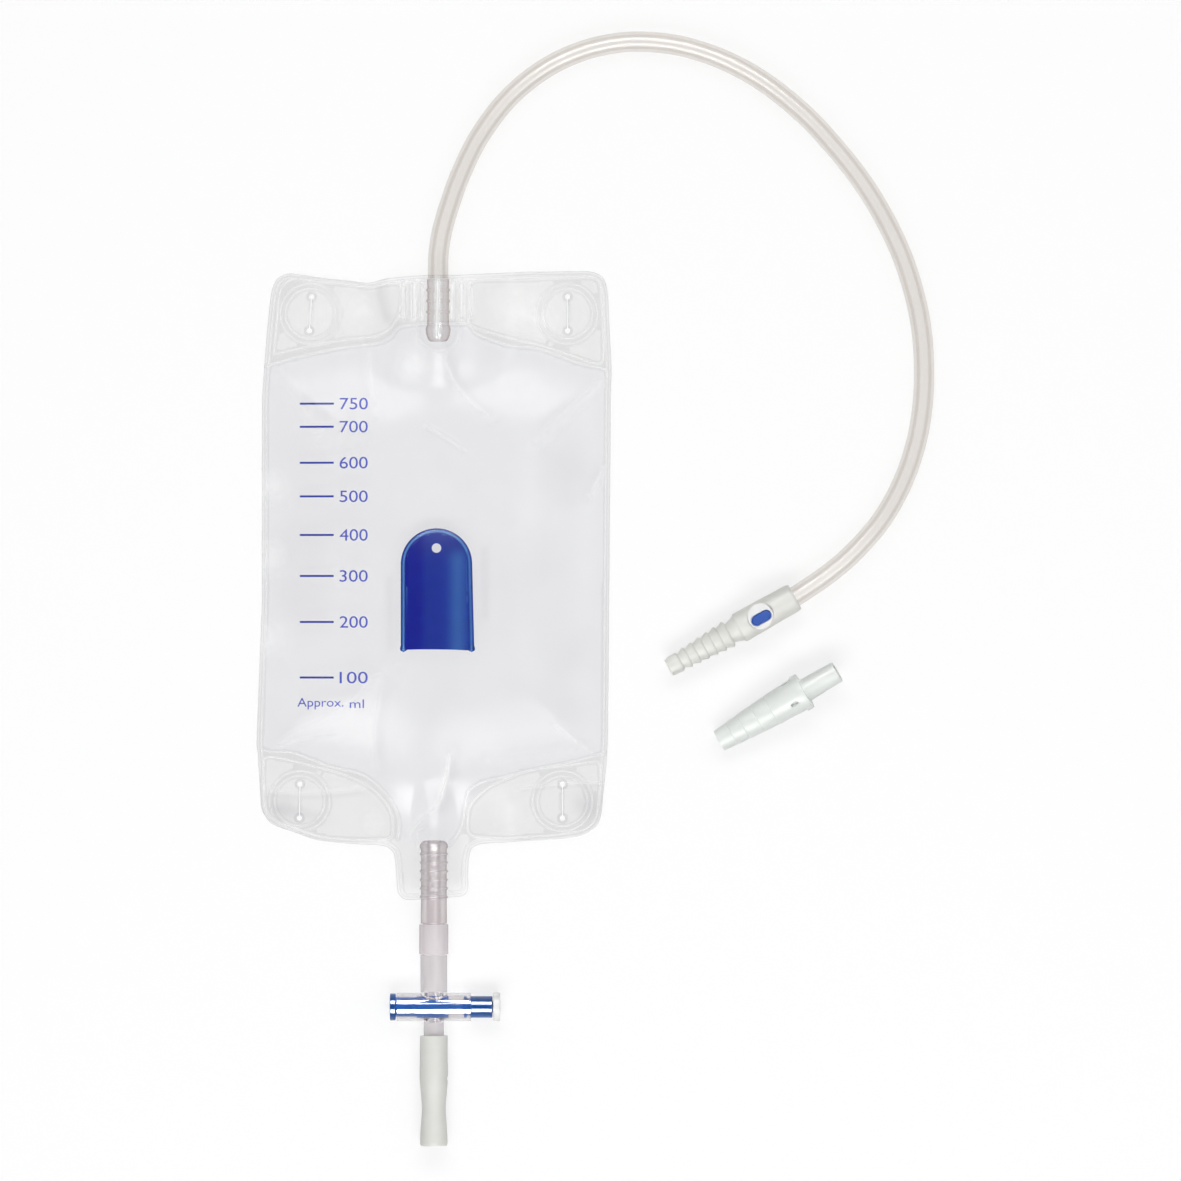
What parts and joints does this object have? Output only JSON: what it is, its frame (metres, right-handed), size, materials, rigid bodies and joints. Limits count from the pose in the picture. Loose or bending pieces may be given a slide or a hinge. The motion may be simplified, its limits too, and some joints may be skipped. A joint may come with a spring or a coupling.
{
  "type": "urine drainage bag",
  "caption": "Flat clear leg bag of welded film with a blue reflux valve, a soft inlet tube with a barbed sampling connector, a push-through outlet tap and a loose stepped adapter.",
  "frame": {"origin": "on the flat back panel where it rests on the floor, at the middle of the bag's length and width", "axes": "+Z out of the floor through the front film, +Y from the outlet tap to the inlet, +X to the right as seen from above with the inlet at the top"},
  "size_m": [0.2823, 0.4671, 0.0166],
  "materials": {
    "clear_film": "soft clear film with a fine matt emboss",
    "clear_tube": "smooth soft clear tube",
    "clear_moulding": "clear moulding",
    "milky_tube": "milky soft tube",
    "deep_blue": "moulded, deep blue",
    "tap_blue": "moulded, bright blue",
    "septum_blue": "soft blue seal",
    "white": "moulded white",
    "pale_white": "moulded, slightly green white"
  },
  "bodies": {
    "bag": {"front_film": "clear_film", "back_film": "clear_film", "reflux_valve": "deep_blue", "inlet_port": "clear_moulding", "inlet_tube": "clear_tube", "connector_body": "pale_white", "sample_port_collar": "white", "sample_port_septum": "septum_blue", "outlet_port": "clear_moulding", "coupling_sleeve": "clear_moulding", "tap_body": "clear_moulding", "outlet_tube": "milky_tube", "spare_adapter": "white"},
    "plunger": {"tap_plunger": "tap_blue", "push_button": "white"}
  },
  "joints": [
    {"name": "tap_slide", "type": "slide", "parent": "bag", "child": "plunger", "axis": [1, 0, 0], "range_m": [-0.009, 0]}
  ]
}
